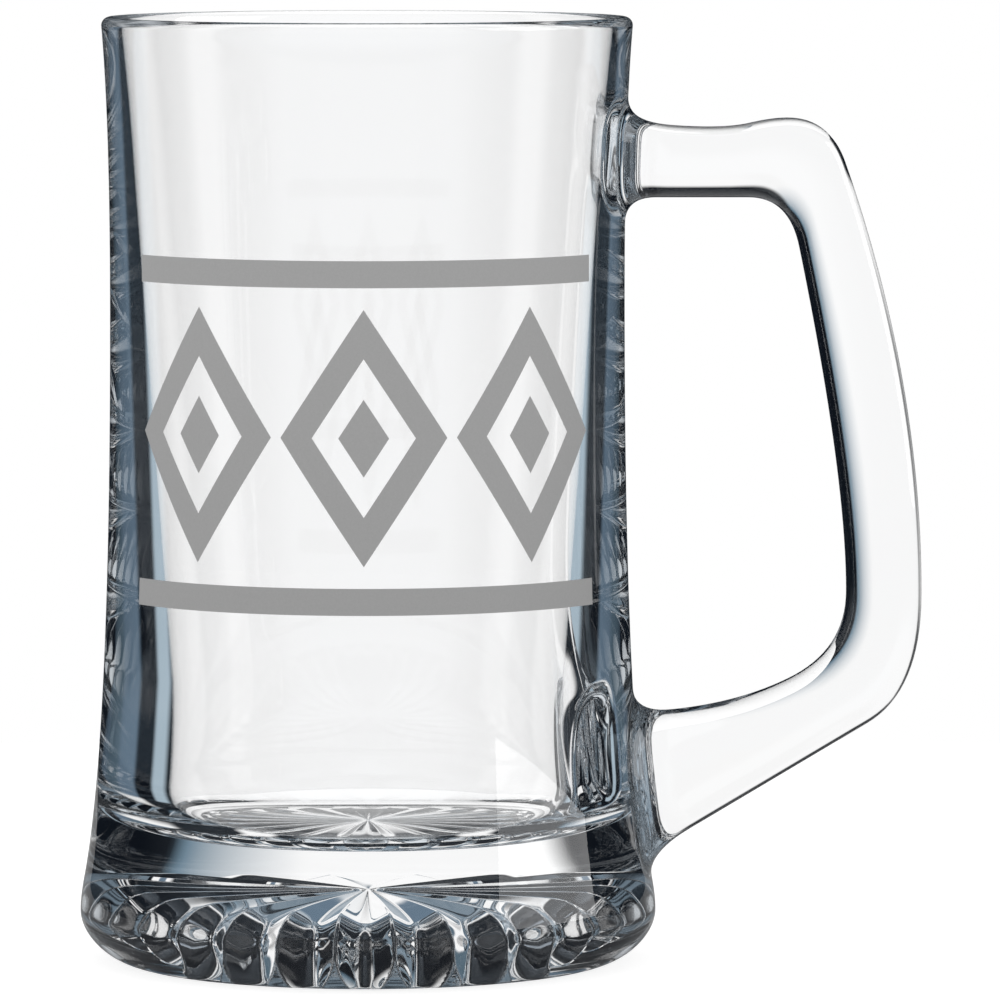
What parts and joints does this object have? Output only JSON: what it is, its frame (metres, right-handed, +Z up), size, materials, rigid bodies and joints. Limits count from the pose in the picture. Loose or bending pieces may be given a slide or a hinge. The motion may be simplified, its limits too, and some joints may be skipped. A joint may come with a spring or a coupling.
{
  "type": "glass beer mug",
  "caption": "Heavy clear glass beer mug: slightly waisted bowl on a thick foot with a pressed star underneath, and a squared D-shaped glass handle stuck to its wall.",
  "frame": {"origin": "on the table, under the middle of the mug's box, handle included", "axes": "+Z up along the bowl's axis, +X from the bowl out through the handle, +Y across the handle"},
  "size_m": [0.1278, 0.0876, 0.1434],
  "materials": {
    "clear_glass": "clear pressed soda-lime glass, fire polished",
    "frosted_print": "flat grey frosted print on the outside of the wall"
  },
  "bodies": {
    "root": {"mug_body": "clear_glass", "handle": "clear_glass"}
  },
  "joints": []
}
